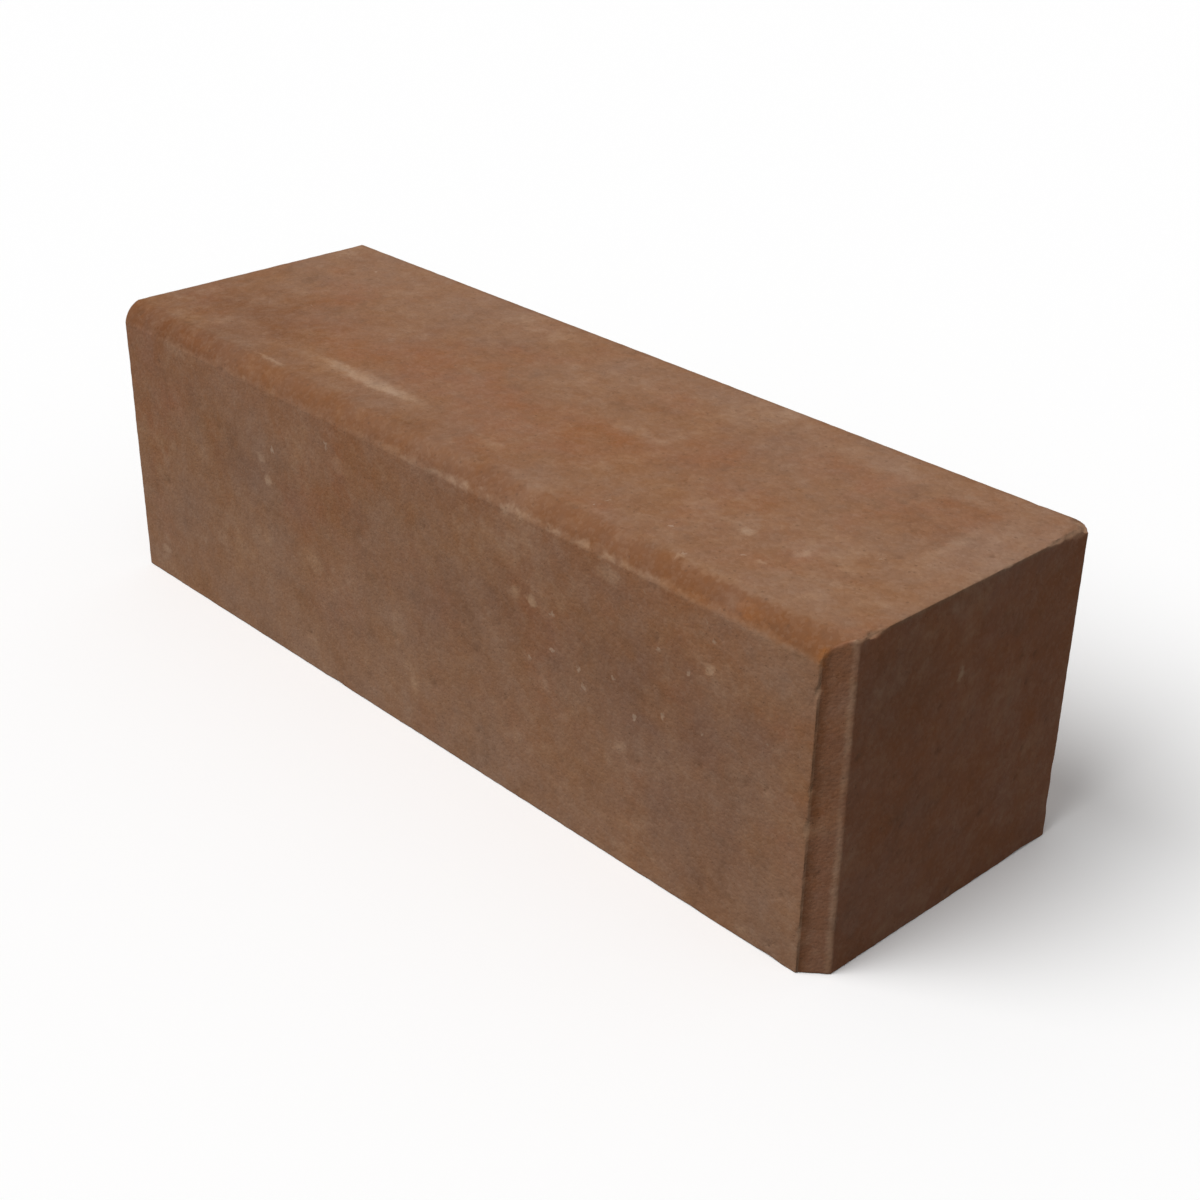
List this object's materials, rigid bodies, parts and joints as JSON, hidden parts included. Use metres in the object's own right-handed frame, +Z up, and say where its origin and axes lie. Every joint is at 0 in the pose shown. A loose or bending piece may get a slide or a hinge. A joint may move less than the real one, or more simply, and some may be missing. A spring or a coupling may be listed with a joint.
{
  "type": "interlocking concrete block",
  "caption": "Long block of brown pressed concrete with crowned bevels along its upper long edges and cut upright corners at one end, laid in rows as paving or edging.",
  "frame": {"origin": "middle of the bed, the flat face that the block lies on", "axes": "+X along the length to the end with cut corners, +Y across the width, +Z up out of the top face"},
  "size_m": [0.3, 0.1, 0.093],
  "materials": {
    "concrete": "matte brown pigmented concrete with a fine sandy grain"
  },
  "bodies": {
    "root": {"concrete_block": "concrete"}
  },
  "joints": []
}
